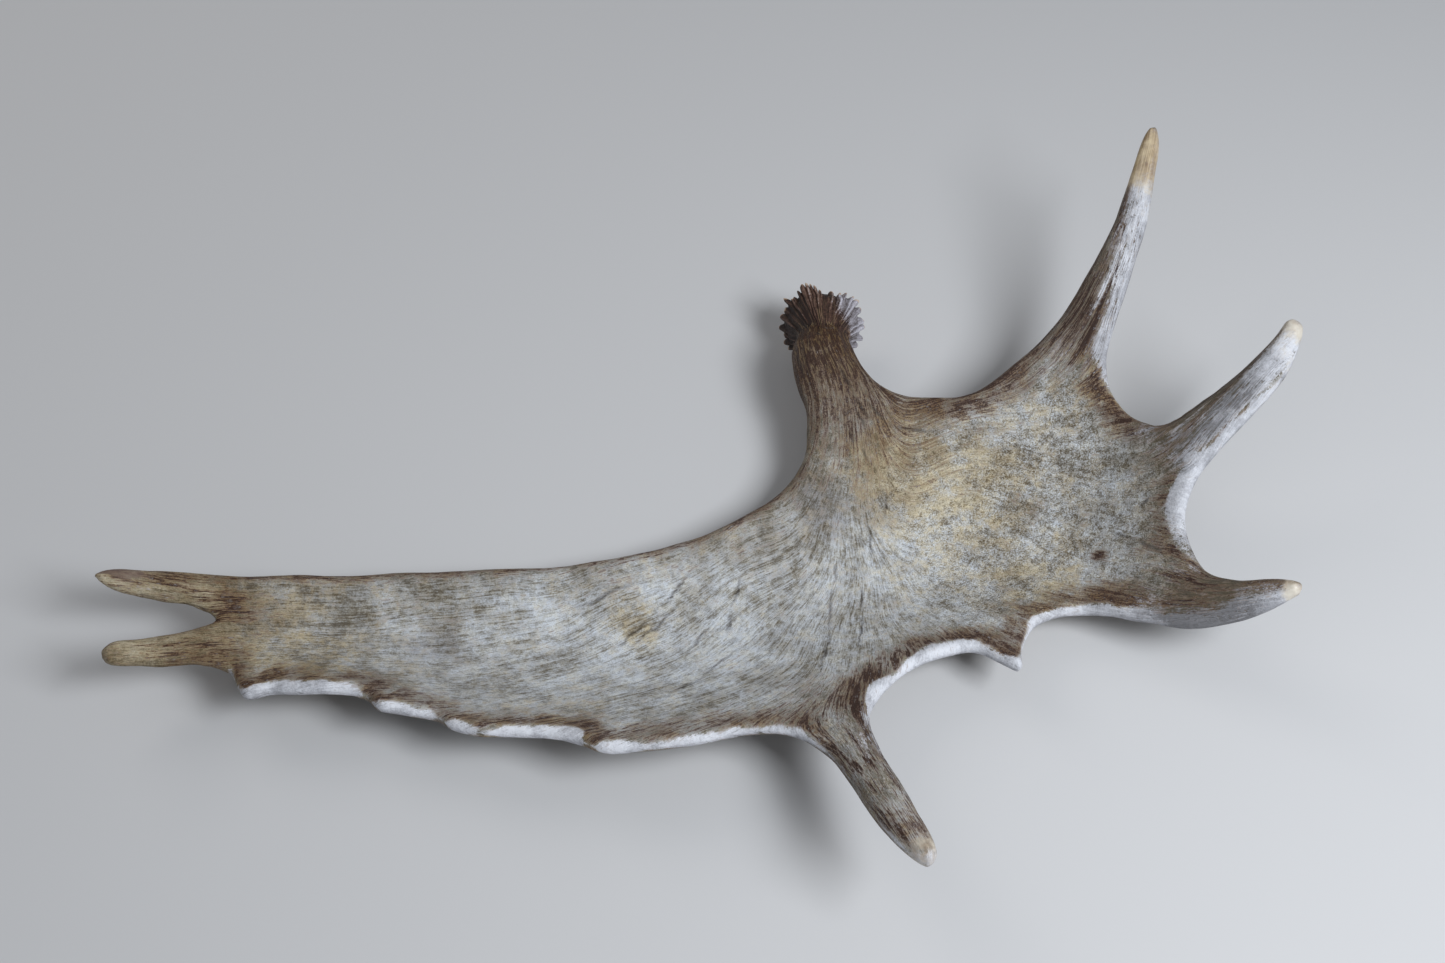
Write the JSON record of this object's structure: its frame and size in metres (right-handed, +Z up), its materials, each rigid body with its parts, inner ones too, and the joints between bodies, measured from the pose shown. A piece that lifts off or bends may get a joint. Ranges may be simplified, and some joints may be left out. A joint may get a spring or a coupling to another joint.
{
  "type": "moose antler",
  "caption": "Shed moose antler lying hollow side up, a broad palm with a scalloped edge, curved tines and a short beam that ends in a ribbed burr.",
  "frame": {"origin": "middle of the antler's box on the floor plan, at floor level", "axes": "+X along the length towards the brow tines, +Y towards the burr, +Z up out of the hollow side"},
  "size_m": [0.8992, 0.6325, 0.1648],
  "materials": {
    "palm": "weathered bone, streaked grey and cream, matt",
    "beam_and_burr": "dark brown stained bone, ribbed, matt",
    "long_tine": "bone with brown grooves and a polished tan tip",
    "fore_tine": "pale grey bone with brown streaks and a polished cream tip",
    "low_tine": "pale bone with brown streaks and a polished cream tip",
    "near_tine": "brown mottled bone with a polished cream tip",
    "rear_upper_tine": "tan bone, smooth towards the tip",
    "rear_lower_tine": "tan bone, smooth towards the blunt tip"
  },
  "bodies": {
    "root": {"palm": "palm", "beam_and_burr": "beam_and_burr", "long_tine": "long_tine", "fore_tine": "fore_tine", "low_tine": "low_tine", "near_tine": "near_tine", "rear_upper_tine": "rear_upper_tine", "rear_lower_tine": "rear_lower_tine"}
  },
  "joints": []
}
